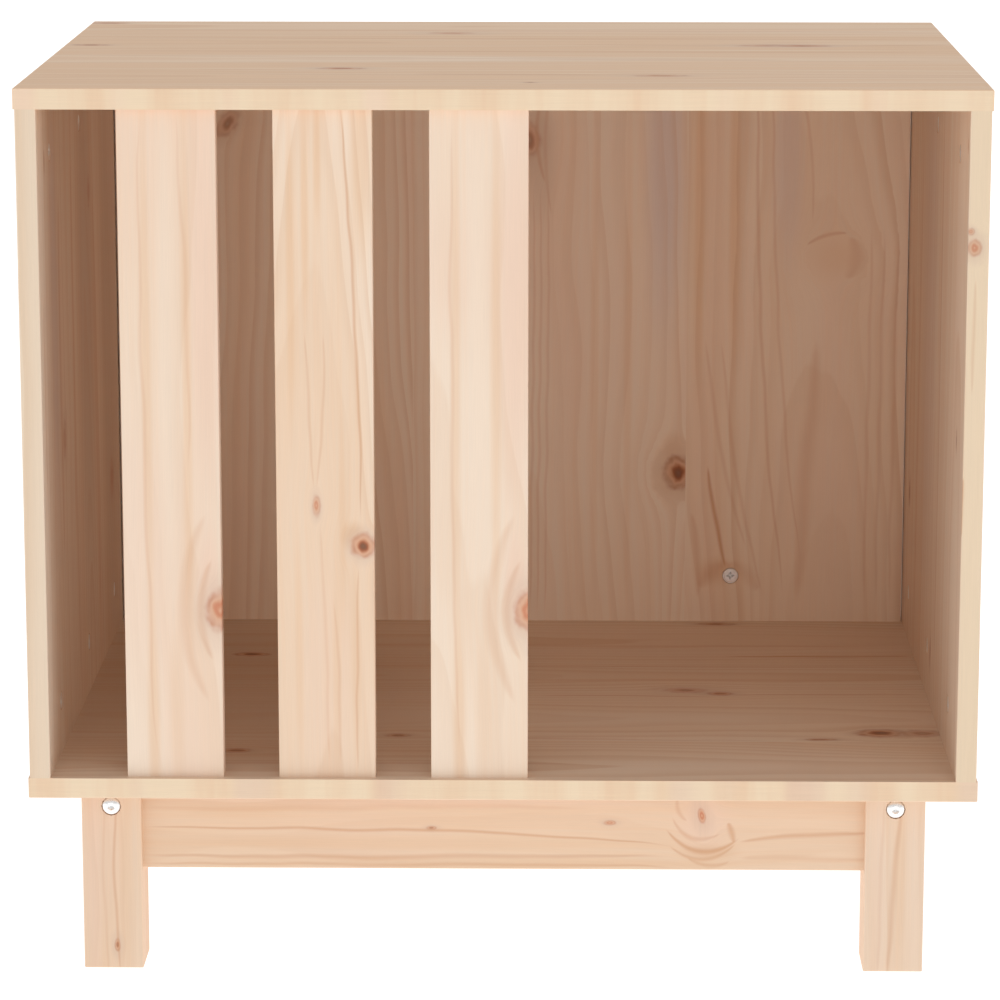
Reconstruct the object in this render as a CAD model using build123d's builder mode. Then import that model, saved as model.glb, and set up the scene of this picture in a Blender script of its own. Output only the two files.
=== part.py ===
from build123d import *
from math import hypot
import os

# A dog house of solid pine boards: a box open at the front, with three slats across
# the left half of the opening, standing on a frame of four legs and four rails.
# X runs left to right, Y from the front to the back, Z up from the ground.
# The origin is on the ground, under the middle of the box. Sizes are in millimetres.

os.makedirs("parts", exist_ok=True)

# Overall size
overall_width = 600.0
overall_depth = 450.0
overall_height = 570.0

# Boards of the box
board_thickness = 13.0
side_inset = 1.0        # side panels stand in from the ends of the top and floor
rear_inset = 1.0        # side and back panels stand in from the rear edge of the top
back_panel_gap = 1.0    # open joint between the back panel and each side panel
arris = 0.5             # flat planed along the sharp edges

# Slats across the front
slat_count = 3
slat_width = 61.0
slat_gap = 35.2
first_slat_gap = 48.6   # from the left side panel to the first slat
slat_setback = 5.0      # slat fronts stand behind the front edge of the top

# Leg frame
leg_height = 120.0
leg_size = 38.0
leg_inset_x = 30.5
leg_inset_y = 24.0
rail_height = 55.0
rail_thickness = 22.0

# Fasteners and their holes repeat many times, so their round forms are drawn with flats
shown_sides = 12        # what can be seen once the house stands
hidden_sides = 8        # what the boards cover
pin_clearance = 0.15    # between a pin and its hole, measured on the radius
hole_end_gap = 0.5      # a blind hole is this much deeper than its pin

# Cam locks: a bolt screwed into the top or floor, caught by a turned nut
side_cam_spacing = 160.0
back_cam_spacing = 320.0
cam_setback = 34.0      # from the end of the board to the axis of the nut
cam_nut_diameter = 12.0
cam_nut_wall = 2.0      # wood left under the nut
cam_bolt_thread = 5.0
cam_bolt_thread_length = 9.0
cam_bolt_shank = 7.0
cam_bore = 8.0
cam_neck = 4.0
cam_head = 6.6
cam_head_length = 4.0
cam_shoulder = 2.5      # from the axis of the nut to the shoulder of the bolt head
cam_fit = 0.2
cam_nut_fit = 0.1
cross_length = 5.5
cross_width = 1.3
cross_depth = 1.6

# Wooden dowels
dowel_diameter = 6.0
dowel_length = 24.0
dowel_in_panel = 9.0    # the part of a dowel that is in the top or floor
side_dowel_spacing = 160.0
slat_dowel_spacing = 36.0
leg_dowel_diameter = 8.0
leg_dowel_length = 30.0
leg_dowel_in_leg = 12.0

# Bolts and barrel nuts that join rails to legs
edge_distance = 12.0    # from a rail's edge to its bolt, and to its dowel
bolt_diameter = 6.0
bolt_hole_fit = 0.3
bolt_head_diameter = 12.0
bolt_head_height = 3.2
bolt_head_rim = 2.0     # the straight part of the head, under its sloping crown
bolt_head_crown = 7.0
bolt_head_recess = 2.0  # how deep the head is let into the leg
bolt_head_fit = 0.3
bolt_socket = 4.0
socket_sides = 6
bolt_socket_depth = 1.8
bolt_past_nut = 4.0
barrel_setback = 25.0   # from the rail's end to the barrel nut
barrel_diameter = 10.0
barrel_length = 14.0
barrel_fit = 0.1
barrel_slot_width = 1.2
barrel_slot_depth = 1.0

# Screws that hold the leg frame under the floor
base_screw_spacing = 230.0
screw_diameter = 4.0
screw_length = 40.0
screw_in_floor = 10.0
screw_head_diameter = 8.0
screw_head_height = 2.4
screw_head_fit = 0.5

# Places worked out from the sizes
front = -overall_depth / 2
rear = overall_depth / 2
floor_top = leg_height + board_thickness
top_underside = overall_height - board_thickness
wall_height = top_underside - floor_top
side_x = overall_width / 2 - side_inset - board_thickness / 2
wall_rear = rear - rear_inset
side_depth = wall_rear - front
side_y = (front + wall_rear) / 2
back_y = wall_rear - board_thickness / 2
inner_width = 2 * side_x - board_thickness
back_width = inner_width - 2 * back_panel_gap
slat_y = front + slat_setback + board_thickness / 2
first_slat_x = -inner_width / 2 + first_slat_gap + slat_width / 2
slat_places = [first_slat_x + i * (slat_width + slat_gap) for i in range(slat_count)]
leg_x = overall_width / 2 - leg_inset_x - leg_size / 2
leg_y = overall_depth / 2 - leg_inset_y - leg_size / 2
long_rail_length = 2 * leg_x - leg_size
short_rail_length = 2 * leg_y - leg_size
rail_underside = leg_height - rail_height
lower_row = rail_underside + edge_distance
upper_row = leg_height - edge_distance

UP, DOWN = (0, 0, 1), (0, 0, -1)
RIGHT, LEFT = (1, 0, 0), (-1, 0, 0)
BACKWARD, FORWARD = (0, 1, 0), (0, -1, 0)


def place(origin, along, facing):
    """Where a fastener goes: its pin points along, and its face or slot looks facing."""
    return Plane(origin=origin, x_dir=facing, z_dir=along).location


# Each fastener's places are on the face between the two pieces that it joins
floor_and_top = ((floor_top, UP), (top_underside, DOWN))
side_cam_places = [
    place((side * side_x, y, z), along, LEFT if side > 0 else RIGHT)
    for side in (-1, 1)
    for y in (-side_cam_spacing, 0, side_cam_spacing)
    for z, along in floor_and_top
]
back_cam_places = [
    place((side * back_cam_spacing / 2, back_y, z), along, FORWARD)
    for side in (-1, 1)
    for z, along in floor_and_top
]
side_dowel_places = [
    place((side * side_x, end * side_dowel_spacing / 2, z), along, RIGHT)
    for side in (-1, 1)
    for end in (-1, 1)
    for z, along in floor_and_top
]
slat_dowel_places = [
    place((x + end * slat_dowel_spacing / 2, slat_y, z), along, RIGHT)
    for x in slat_places
    for end in (-1, 1)
    for z, along in floor_and_top
]
# A bolt starts at the outer face of a leg, a leg dowel at its inner face
bolt_places = []
leg_dowel_places = []
for side, inward in ((-1, RIGHT), (1, LEFT)):
    for end, across in ((-1, BACKWARD), (1, FORWARD)):
        x, y = side * leg_x, end * leg_y
        outer_x, inner_x = x + side * leg_size / 2, x - side * leg_size / 2
        outer_y, inner_y = y + end * leg_size / 2, y - end * leg_size / 2
        bolt_places.append(place((outer_x, y, lower_row), inward, across))
        bolt_places.append(place((x, outer_y, upper_row), across, inward))
        leg_dowel_places.append(place((inner_x, y, upper_row), inward, across))
        leg_dowel_places.append(place((x, inner_y, lower_row), across, inward))
screw_places = [
    place((side * base_screw_spacing / 2, end * leg_y, leg_height), UP, RIGHT)
    for side in (-1, 1)
    for end in (-1, 1)
]


def pin(diameter, low, high, sides=hidden_sides, mode=Mode.ADD):
    """A pin or a drilled hole along Z, from low to high, in the part being built."""
    with BuildSketch(Plane.XY.offset(low)) as section:
        RegularPolygon(diameter / 2, sides)
    extrude(section.sketch, amount=high - low, mode=mode)


# Cam nut: its axis is X, its face looks along +X, and the bolt comes up Z to its middle
nut_height = board_thickness - cam_nut_wall
nut_face = board_thickness / 2
shank_length = cam_setback - cam_nut_diameter / 2 - cam_nut_fit - cam_fit
cam_cavity = hypot(cam_head / 2, cam_shoulder) + cam_nut_fit
cam_cavity_height = cam_head + 2 * cam_fit
neck_slot = cam_neck + 2 * cam_fit
nut_axis = Plane(origin=(0, 0, cam_setback), x_dir=(0, 1, 0), z_dir=(1, 0, 0))
nut_radius = cam_nut_diameter / 2

with BuildPart() as cam_nut:
    with BuildSketch(nut_axis.offset(nut_face)):
        RegularPolygon(nut_radius, shown_sides)
    extrude(amount=-nut_height)
    with BuildSketch(nut_axis.offset(nut_face)):
        Rectangle(cross_length, cross_width)
        Rectangle(cross_width, cross_length)
    extrude(amount=-cross_depth, mode=Mode.SUBTRACT)
    with BuildSketch(nut_axis.offset(-cam_cavity_height / 2)):
        RegularPolygon(cam_cavity, hidden_sides, major_radius=False)
        with Locations((-nut_radius, 0)):
            Rectangle(cam_nut_diameter, cam_cavity_height)
    extrude(amount=cam_cavity_height, mode=Mode.SUBTRACT)
    with BuildSketch(nut_axis.offset(-neck_slot / 2)):
        with Locations((0, -nut_radius)):
            Rectangle(2 * cam_nut_diameter, cam_nut_diameter)
    extrude(amount=neck_slot, mode=Mode.SUBTRACT)

with BuildPart() as cam_bolt:
    pin(cam_bolt_thread, -cam_bolt_thread_length, 0)
    pin(cam_bolt_shank, 0, shank_length)
    pin(cam_neck, shank_length, cam_setback - cam_shoulder)
    pin(cam_head, cam_setback - cam_shoulder, cam_setback - cam_shoulder + cam_head_length)

with BuildPart() as cam_drill:
    pin(cam_bolt_thread + 2 * pin_clearance, -cam_bolt_thread_length - hole_end_gap, 0)
    pin(cam_bore, 0, cam_setback)
    with BuildSketch(nut_axis.offset(nut_face)):
        RegularPolygon(nut_radius + cam_nut_fit, shown_sides)
    extrude(amount=-nut_height)

# Dowels: the panel or leg that a dowel enters first is below Z = 0
with BuildPart() as dowel:
    pin(dowel_diameter, -dowel_in_panel, dowel_length - dowel_in_panel)

with BuildPart() as dowel_drill:
    pin(
        dowel_diameter + 2 * pin_clearance,
        -dowel_in_panel - hole_end_gap,
        dowel_length - dowel_in_panel + hole_end_gap,
    )

with BuildPart() as leg_dowel:
    pin(leg_dowel_diameter, -leg_dowel_in_leg, leg_dowel_length - leg_dowel_in_leg)

with BuildPart() as leg_dowel_drill:
    pin(
        leg_dowel_diameter + 2 * pin_clearance,
        -leg_dowel_in_leg - hole_end_gap,
        leg_dowel_length - leg_dowel_in_leg + hole_end_gap,
    )

# Leg bolt: Z runs inward from the outer face of the leg
barrel_z = leg_size + barrel_setback
bolt_tip = barrel_z + bolt_past_nut
bolt_shank_hole = bolt_diameter + 2 * bolt_hole_fit
dome_rise = bolt_head_height - bolt_head_rim
head_top = bolt_head_recess - bolt_head_height
bolt_seat = bolt_head_recess

with BuildPart() as leg_bolt:
    pin(bolt_head_diameter, head_top + dome_rise, bolt_seat, sides=shown_sides)
    with BuildSketch(Plane.XY.offset(head_top + dome_rise)):
        RegularPolygon(bolt_head_diameter / 2, shown_sides)
    with BuildSketch(Plane.XY.offset(head_top)):
        RegularPolygon(bolt_head_crown / 2, shown_sides)
    loft()
    with BuildSketch(Plane.XY.offset(head_top)):
        RegularPolygon(bolt_socket / 2, socket_sides, major_radius=False)
    extrude(amount=bolt_socket_depth, mode=Mode.SUBTRACT)
    pin(bolt_diameter, bolt_seat, bolt_tip)

# The nut lies across the rail, midway through it, its slotted end towards +X
nut_bore_axis = Plane(origin=(0, 0, barrel_z), x_dir=(0, 1, 0), z_dir=(1, 0, 0))

with BuildPart() as barrel_nut:
    with BuildSketch(nut_bore_axis.offset(-barrel_length / 2)):
        RegularPolygon(barrel_diameter / 2, shown_sides)
    extrude(amount=barrel_length)
    with BuildSketch(nut_bore_axis.offset(barrel_length / 2)):
        Rectangle(barrel_diameter, barrel_slot_width)
    extrude(amount=-barrel_slot_depth, mode=Mode.SUBTRACT)
    pin(
        bolt_diameter + 2 * pin_clearance,
        barrel_z - barrel_diameter,
        barrel_z + barrel_diameter,
        mode=Mode.SUBTRACT,
    )

with BuildPart() as bolt_drill:
    pin(bolt_head_diameter + 2 * bolt_head_fit, 0, bolt_seat, sides=shown_sides)
    pin(bolt_shank_hole, bolt_seat, bolt_tip + hole_end_gap)
    with BuildSketch(nut_bore_axis.offset(-barrel_length / 2)):
        RegularPolygon(barrel_diameter / 2 + barrel_fit, shown_sides)
    extrude(amount=barrel_length / 2 + rail_thickness / 2)

# Base screw: Z = 0 is the joint between rail and floor, the head is below
screw_seat = screw_in_floor - screw_length

with BuildPart() as base_screw:
    pin(screw_head_diameter, screw_seat - screw_head_height, screw_seat, sides=shown_sides)
    with BuildSketch(Plane.XY.offset(screw_seat - screw_head_height)):
        Rectangle(cross_length, cross_width)
        Rectangle(cross_width, cross_length)
    extrude(amount=cross_depth, mode=Mode.SUBTRACT)
    pin(screw_diameter, screw_seat, screw_in_floor)

with BuildPart() as screw_drill:
    pin(screw_diameter + 2 * pin_clearance, screw_seat, screw_in_floor + hole_end_gap)
    pin(screw_head_diameter + 2 * screw_head_fit, -rail_height, screw_seat, sides=shown_sides)


def drill(tool, places):
    """Cut the same hole at each place in the part being built."""
    with Locations(*places):
        add(tool.part, mode=Mode.SUBTRACT)


def long_edges(part, axis):
    """The edges of a board that run along its length."""
    return part.edges().filter_by(axis)


# Top panel
with BuildPart() as top_panel:
    with Locations((0, 0, top_underside)):
        Box(
            overall_width,
            overall_depth,
            board_thickness,
            align=(Align.CENTER, Align.CENTER, Align.MIN),
        )
    upper_edges = top_panel.faces().sort_by(Axis.Z)[-1].edges()
    chamfer(upper_edges + long_edges(top_panel, Axis.Z), arris)
    drill(cam_drill, side_cam_places + back_cam_places)
    drill(dowel_drill, side_dowel_places + slat_dowel_places)

top_panel.part.label = "top_panel"
export_step(top_panel.part, "parts/top_panel.step")

# Floor panel
with BuildPart() as floor_panel:
    with Locations((0, 0, leg_height)):
        Box(
            overall_width,
            overall_depth,
            board_thickness,
            align=(Align.CENTER, Align.CENTER, Align.MIN),
        )
    lower_edges = floor_panel.faces().sort_by(Axis.Z)[0].edges()
    chamfer(lower_edges + long_edges(floor_panel, Axis.Z), arris)
    drill(cam_drill, side_cam_places + back_cam_places)
    drill(dowel_drill, side_dowel_places + slat_dowel_places)
    drill(screw_drill, screw_places)

floor_panel.part.label = "floor_panel"
export_step(floor_panel.part, "parts/floor_panel.step")

# Side panels
for name, side in (("left_side_panel", -1), ("right_side_panel", 1)):
    with BuildPart() as side_panel:
        with Locations((side * side_x, side_y, floor_top)):
            Box(
                board_thickness,
                side_depth,
                wall_height,
                align=(Align.CENTER, Align.CENTER, Align.MIN),
            )
        chamfer(long_edges(side_panel, Axis.Z), arris)
        drill(cam_drill, side_cam_places)
        drill(dowel_drill, side_dowel_places)
    side_panel.part.label = name
    export_step(side_panel.part, f"parts/{name}.step")

# Back panel
with BuildPart() as back_panel:
    with Locations((0, back_y, floor_top)):
        Box(
            back_width,
            board_thickness,
            wall_height,
            align=(Align.CENTER, Align.CENTER, Align.MIN),
        )
    chamfer(long_edges(back_panel, Axis.Z), arris)
    drill(cam_drill, back_cam_places)

back_panel.part.label = "back_panel"
export_step(back_panel.part, "parts/back_panel.step")

# Slats
for number, slat_x in enumerate(slat_places, start=1):
    with BuildPart() as slat:
        with Locations((slat_x, slat_y, floor_top)):
            Box(
                slat_width,
                board_thickness,
                wall_height,
                align=(Align.CENTER, Align.CENTER, Align.MIN),
            )
        chamfer(long_edges(slat, Axis.Z), arris)
        drill(dowel_drill, slat_dowel_places)
    slat.part.label = f"slat_{number}"
    export_step(slat.part, f"parts/slat_{number}.step")

# Legs
for row, end in (("front", -1), ("rear", 1)):
    for hand, side in (("left", -1), ("right", 1)):
        with BuildPart() as leg:
            with Locations((side * leg_x, end * leg_y, 0)):
                Box(
                    leg_size,
                    leg_size,
                    leg_height,
                    align=(Align.CENTER, Align.CENTER, Align.MIN),
                )
            foot_edges = leg.faces().sort_by(Axis.Z)[0].edges()
            chamfer(foot_edges + long_edges(leg, Axis.Z), arris)
            drill(bolt_drill, bolt_places)
            drill(leg_dowel_drill, leg_dowel_places)
        leg.part.label = f"{row}_{hand}_leg"
        export_step(leg.part, f"parts/{row}_{hand}_leg.step")

# Rails across the front and the rear
for name, end in (("front_rail", -1), ("rear_rail", 1)):
    with BuildPart() as rail:
        with Locations((0, end * leg_y, rail_underside)):
            Box(
                long_rail_length,
                rail_thickness,
                rail_height,
                align=(Align.CENTER, Align.CENTER, Align.MIN),
            )
        chamfer(long_edges(rail, Axis.X), arris)
        drill(bolt_drill, bolt_places)
        drill(leg_dowel_drill, leg_dowel_places)
        drill(screw_drill, screw_places)
    rail.part.label = name
    export_step(rail.part, f"parts/{name}.step")

# Rails along the sides
for name, side in (("left_rail", -1), ("right_rail", 1)):
    with BuildPart() as rail:
        with Locations((side * leg_x, 0, rail_underside)):
            Box(
                rail_thickness,
                short_rail_length,
                rail_height,
                align=(Align.CENTER, Align.CENTER, Align.MIN),
            )
        chamfer(long_edges(rail, Axis.Y), arris)
        drill(bolt_drill, bolt_places)
        drill(leg_dowel_drill, leg_dowel_places)
    rail.part.label = name
    export_step(rail.part, f"parts/{name}.step")

# Fasteners, one group of like pieces for each kind of joint
for name, fastener, places in (
    ("side_cam_nuts", cam_nut, side_cam_places),
    ("side_cam_bolts", cam_bolt, side_cam_places),
    ("back_cam_nuts", cam_nut, back_cam_places),
    ("back_cam_bolts", cam_bolt, back_cam_places),
    ("side_dowels", dowel, side_dowel_places),
    ("slat_dowels", dowel, slat_dowel_places),
    ("leg_dowels", leg_dowel, leg_dowel_places),
    ("leg_bolts", leg_bolt, bolt_places),
    ("barrel_nuts", barrel_nut, bolt_places),
    ("base_screws", base_screw, screw_places),
):
    with BuildPart() as group:
        with Locations(*places):
            add(fastener.part)
    group.part.label = name
    export_step(group.part, f"parts/{name}.step")
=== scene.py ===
"""A dog house of glued pine boards on a low leg frame: its woods, its fastenings and a pale studio."""

import math
from dataclasses import dataclass

import bmesh
import bpy
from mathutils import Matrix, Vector


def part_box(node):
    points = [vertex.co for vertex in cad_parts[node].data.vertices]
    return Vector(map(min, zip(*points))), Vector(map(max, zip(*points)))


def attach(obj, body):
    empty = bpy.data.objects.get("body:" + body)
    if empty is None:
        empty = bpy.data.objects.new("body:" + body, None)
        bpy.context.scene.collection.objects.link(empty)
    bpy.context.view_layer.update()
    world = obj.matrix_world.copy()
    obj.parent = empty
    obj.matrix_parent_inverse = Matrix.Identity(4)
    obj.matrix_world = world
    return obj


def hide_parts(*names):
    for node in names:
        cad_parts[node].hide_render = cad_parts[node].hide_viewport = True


bl_info = {
    "name": "Pine dog house",
    "version": (1, 0, 0),
    "blender": (4, 5, 0),
    "location": "3D View > Sidebar > Dog house",
    "description": "Pine boards, knock-down fastenings and a studio for a dog house on legs",
    "category": "Object",
}

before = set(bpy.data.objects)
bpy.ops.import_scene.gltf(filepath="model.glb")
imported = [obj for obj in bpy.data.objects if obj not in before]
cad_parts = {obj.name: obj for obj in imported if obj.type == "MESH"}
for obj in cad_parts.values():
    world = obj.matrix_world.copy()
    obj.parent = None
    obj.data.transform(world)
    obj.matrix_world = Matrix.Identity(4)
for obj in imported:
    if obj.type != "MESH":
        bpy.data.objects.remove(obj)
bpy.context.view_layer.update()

MM = 0.001
PER_METRE = 1000.0


# Sizes and colours that a user would change


def tint(name, description, default):
    """A colour that a user can pick."""
    return bpy.props.FloatVectorProperty(
        name=name, description=description, subtype="COLOR", size=3, min=0, max=1, default=default)


def amount(name, description, default, **kind):
    """A number that a user can set."""
    return bpy.props.FloatProperty(name=name, description=description, default=default, **kind)


class PineLook(bpy.types.PropertyGroup):
    """The colours of planed, unfinished pine, with a dull brown painted as shade, and how strongly its figure
    shows.
    """

    cream: tint("Sapwood", "Palest wood between two year rings", (0.90, 0.735, 0.590))
    amber: tint("Amber wood", "Warm wood of the broad bands", (0.83, 0.575, 0.385))
    straw: tint("Straw wood", "Yellowish wood on the long edges of the panels", (0.88, 0.700, 0.500))
    lilac: tint("Lilac wood", "Cool grey-pink wood in a few staves", (0.76, 0.620, 0.560))
    rose: tint("Rose wood", "Pink wood beside a knot and in the outer bands", (0.87, 0.640, 0.500))
    late: tint("Late wood", "Dense wood that closes each year ring", (0.66, 0.370, 0.185))
    ember: tint("Live knot", "Red-orange wood of a knot grown fast in the board", (0.62, 0.205, 0.095))
    # Painted shade: this dull brown darkens the floor, the left wall and a patch of the back panel where they
    # lie in shade.
    painted_shade_brown: tint("Umber wood", "Dull brown wood in the floor and in a few staves", (0.56, 0.390, 0.275))
    resin: tint("Resin line", "Thin lines along the grain", (0.60, 0.265, 0.105))
    knot: tint("Knot", "Middle tone of a sound knot", (0.46, 0.175, 0.075))
    bark: tint("Knot eye", "Darkest wood, at a knot's eye", (0.10, 0.035, 0.018))
    figure: amount("Figure", "How strongly the year rings show", 1.0, min=0, max=2, subtype="FACTOR")
    relief: amount("Relief", "Height of the planed grain", 0.12 * MM, subtype="DISTANCE", unit="LENGTH")
    roughness: amount("Roughness", "Roughness of bare planed wood", 0.62, min=0, max=1, subtype="FACTOR")


class MetalLook(bpy.types.PropertyGroup):
    """The finishes and the fine shapes of the fastenings."""

    steel: tint("Plated steel", "Colour of bright plating", (0.95, 0.95, 0.95))
    zinc: tint("Cast zinc", "Colour of a die-cast nut", (0.93, 0.92, 0.91))
    beech: tint("Dowel wood", "Colour of a beech dowel", (0.72, 0.50, 0.31))
    cam_radius: amount("Cam nut radius", "Half the width of a cam nut", 5.85 * MM, unit="LENGTH")
    cam_recess: amount("Cam nut recess", "How far its face lies below the board", 0.15 * MM, unit="LENGTH")
    thread_depth: amount("Thread depth", "How far a thread stands off its core", 0.45 * MM, unit="LENGTH")


class StudioLook(bpy.types.PropertyGroup):
    """The floor, the light and the camera."""

    eye: bpy.props.FloatVectorProperty(
        name="Camera place", description="Where the camera stands", subtype="TRANSLATION", unit="LENGTH",
        size=3, default=(0.0405, -2.7637, 0.8423))
    pitch: amount("Camera pitch", "How far the camera looks down", 0.2052, subtype="ANGLE", unit="ROTATION")
    yaw: amount(
        "Camera yaw", "How far the camera looks to the left", 0.0165, subtype="ANGLE", unit="ROTATION")
    lens: amount("Lens", "Focal length on a 36 mm wide sensor", 149.9, subtype="DISTANCE_CAMERA")
    front_light: amount("Front light", "Brightness of the room in front of the house", 0.64, min=0)
    back_light: amount("Back light", "Brightness of the room behind the house", 0.74, min=0)
    softbox: amount("Softbox", "Power of the large soft light", 6.0, min=0, subtype="POWER", unit="POWER")
    floor_glow: amount("Floor glow", "Light that the lit floor gives back by itself", 0.97, min=0)
    floor_tone: tint("Floor", "Colour of the studio floor", (0.33, 0.33, 0.33))


# What the boards are made of, with light and shade painted on them, in millimetres of the shared frame


# Past the edge of every board
FAR = 1000.0


@dataclass
class Stave:
    """A strip of one log: where it begins across the board, and how its year rings run."""

    heart: tuple
    ring: float = 5.0
    begins: float = -FAR
    warmth: float = 0.3
    rose: float = 0.3
    slope: float = 0.02
    lean: float = 0.0
    figure: float = 1.0


@dataclass
class Knot:
    """A branch cut by the saw: its place across and along the board, and its half width."""

    across: float
    along: float
    radius: float
    stretch: float = 1.3
    lean: float = 0.0
    reach: float = 2.4
    pull: float = 1.3
    dark: float = 0.6
    eye: float = 0.35
    red: float = 0.5


@dataclass
class Streak:
    """A thin line from one place on the board to another, bowed sideways: resin, or one strong ring."""

    start: tuple
    end: tuple
    width: float
    dark: float = 0.6
    bow: float = 0.0


@dataclass
class Cloud:
    """A soft change of tone: its middle, its half width and half length, its tone and its strength; a cloud
    in the dull brown shade tone is painted shade.
    """

    middle: tuple
    reach: tuple
    tone: str
    strength: float = 0.5


@dataclass
class Board:
    """A piece of pine: its axes across, along and through the grain, its staves and its marks."""

    node: str
    axes: str
    staves: tuple
    knots: tuple = ()
    streaks: tuple = ()
    clouds: tuple = ()
    # shade is a painted light factor: it makes the whole board lighter or darker to stand in for the light
    # that reaches it.
    shade: float = 1.0
    bands: float = 0.6
    tilt: float = 0.0
    straw_edge: float = 0.0
    blocks: bool = False
    seed: float = 0.0


def even_lines(places, low, high, width, dark, drift=0.0):
    """Ring lines side by side, from low to high along the board."""
    return tuple(Streak((place, low), (place + drift, high), width, dark) for place in places)


def even_bands(places, middle, reach, tone, strength):
    """Soft bands of one tone side by side, each as wide and as long as reach."""
    return tuple(Cloud((place, middle), reach, tone, strength) for place in places)


SLATS = (
    Board("slat_1", "XZY", (Stave((-252, 85), ring=10, warmth=0.16, rose=0.55, slope=0.03, figure=0.42),),
          (Knot(-177.2, 241.4, 8.0, stretch=1.45, reach=3.2, dark=0.72, eye=0.0, red=1.0, pull=1.5),),
          (Streak((-224, 560), (-219, 140), 1.8, 0.18, 2), Streak((-184, 305), (-184, 180), 6.0, 0.20, 16),
           Streak((-181, 275), (-181, 208), 4.0, 0.26, 9), Streak((-201, 560), (-196, 330), 1.8, 0.14, -2)),
          (Cloud((-184, 440), (14, 170), "rose", 0.85), Cloud((-208, 400), (9, 190), "cream", 0.7),
           *even_bands((-221, -196), 400, (4, 220), "amber", 0.55), Cloud((-220, 170), (5, 90), "amber", 0.6),
           Cloud((-184, 262), (9, 40), "rose", 0.8), Cloud((-205, 175), (6, 70), "amber", 0.35)),
          shade=1.05, seed=1.3),
    Board("slat_2", "XZY", (Stave((-116, 20), ring=6.0, warmth=0.42, rose=0.25, slope=0.045, figure=0.75),),
          (Knot(-86.8, 283.1, 7.2, stretch=1.0, reach=2.2, dark=0.85, eye=0.75, red=1.0),
           Knot(-116.3, 308.9, 2.4, stretch=2.6, reach=2.4, dark=0.55, eye=0.0, red=1.0, pull=1.8)),
          (Streak((-101, 565), (-89, 294), 1.5, 0.42, -4.0), Streak((-89.5, 272), (-92, 135), 1.3, 0.30, 1),
           Streak((-106, 250), (-103, 140), 1.6, 0.18, -1), Streak((-122, 420), (-117, 318), 1.5, 0.22, 1),
           Streak((-110, 420), (-115.6, 318), 1.5, 0.22, -1), Streak((-113, 300), (-110, 140), 1.8, 0.16)),
          (Cloud((-88, 520), (8, 70), "amber", 0.6), Cloud((-110, 200), (24, 90), "rose", 0.4),
           Cloud((-131, 450), (3.5, 120), "amber", 0.85), Cloud((-122, 490), (3, 80), "amber", 0.8),
           Cloud((-114, 525), (3, 50), "amber", 0.8), Cloud((-100, 300), (3, 80), "amber", 0.6),
           Cloud((-93, 289), (9, 11), "late", 0.45),
           *even_bands((-128, -104, -92), 210, (3.5, 90), "amber", 0.5)),
          shade=1.05, seed=4.1),
    Board("slat_3", "XZY", (Stave((-60, 85), ring=10, warmth=0.16, rose=0.55, slope=0.03, figure=0.42),),
          (Knot(16.5, 241.8, 8.0, stretch=1.45, reach=3.2, dark=0.72, eye=0.0, red=1.0, pull=1.5),),
          (Streak((-31, 560), (-27, 140), 1.8, 0.18, 2), Streak((9, 305), (9, 180), 6.0, 0.20, 16),
           Streak((12, 275), (12, 208), 4.0, 0.24, 9)),
          (Cloud((8, 440), (14, 170), "rose", 0.85), Cloud((-15, 400), (9, 190), "cream", 0.7),
           *even_bands((-29, -4), 400, (4, 220), "amber", 0.5), Cloud((-27, 170), (5, 90), "amber", 0.6),
           Cloud((8, 262), (9, 40), "rose", 0.8), Cloud((-12, 175), (6, 70), "amber", 0.35)),
          shade=1.05, seed=1.9),
)

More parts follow.
